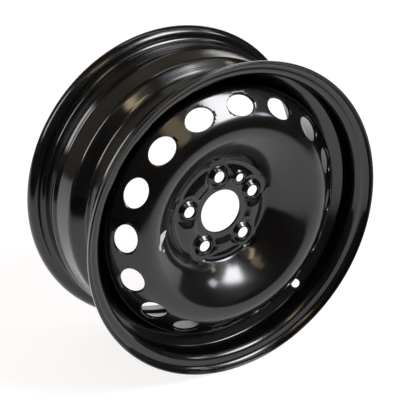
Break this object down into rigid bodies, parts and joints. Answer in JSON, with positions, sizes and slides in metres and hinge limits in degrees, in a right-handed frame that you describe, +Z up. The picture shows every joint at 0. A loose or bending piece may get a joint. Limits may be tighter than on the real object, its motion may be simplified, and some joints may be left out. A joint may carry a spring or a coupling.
{
  "type": "steel wheel rim",
  "caption": "Pressed-steel road wheel without tyre: drop-centre rim with curled flanges, and a domed disc with oval vents, coned bolt seats and a plain centre bore.",
  "frame": {"origin": "the wheel's centre, on the axle, halfway between the two flanges", "axes": "+Y along the axle towards the vehicle, so the street face looks to -Y; +Z up with the wheel upright"},
  "size_m": [0.415, 0.1786, 0.4148],
  "materials": {
    "paint": "gloss"
  },
  "bodies": {
    "root": {"rim": "paint", "disc": "paint", "weld_runs": "paint"}
  },
  "joints": []
}
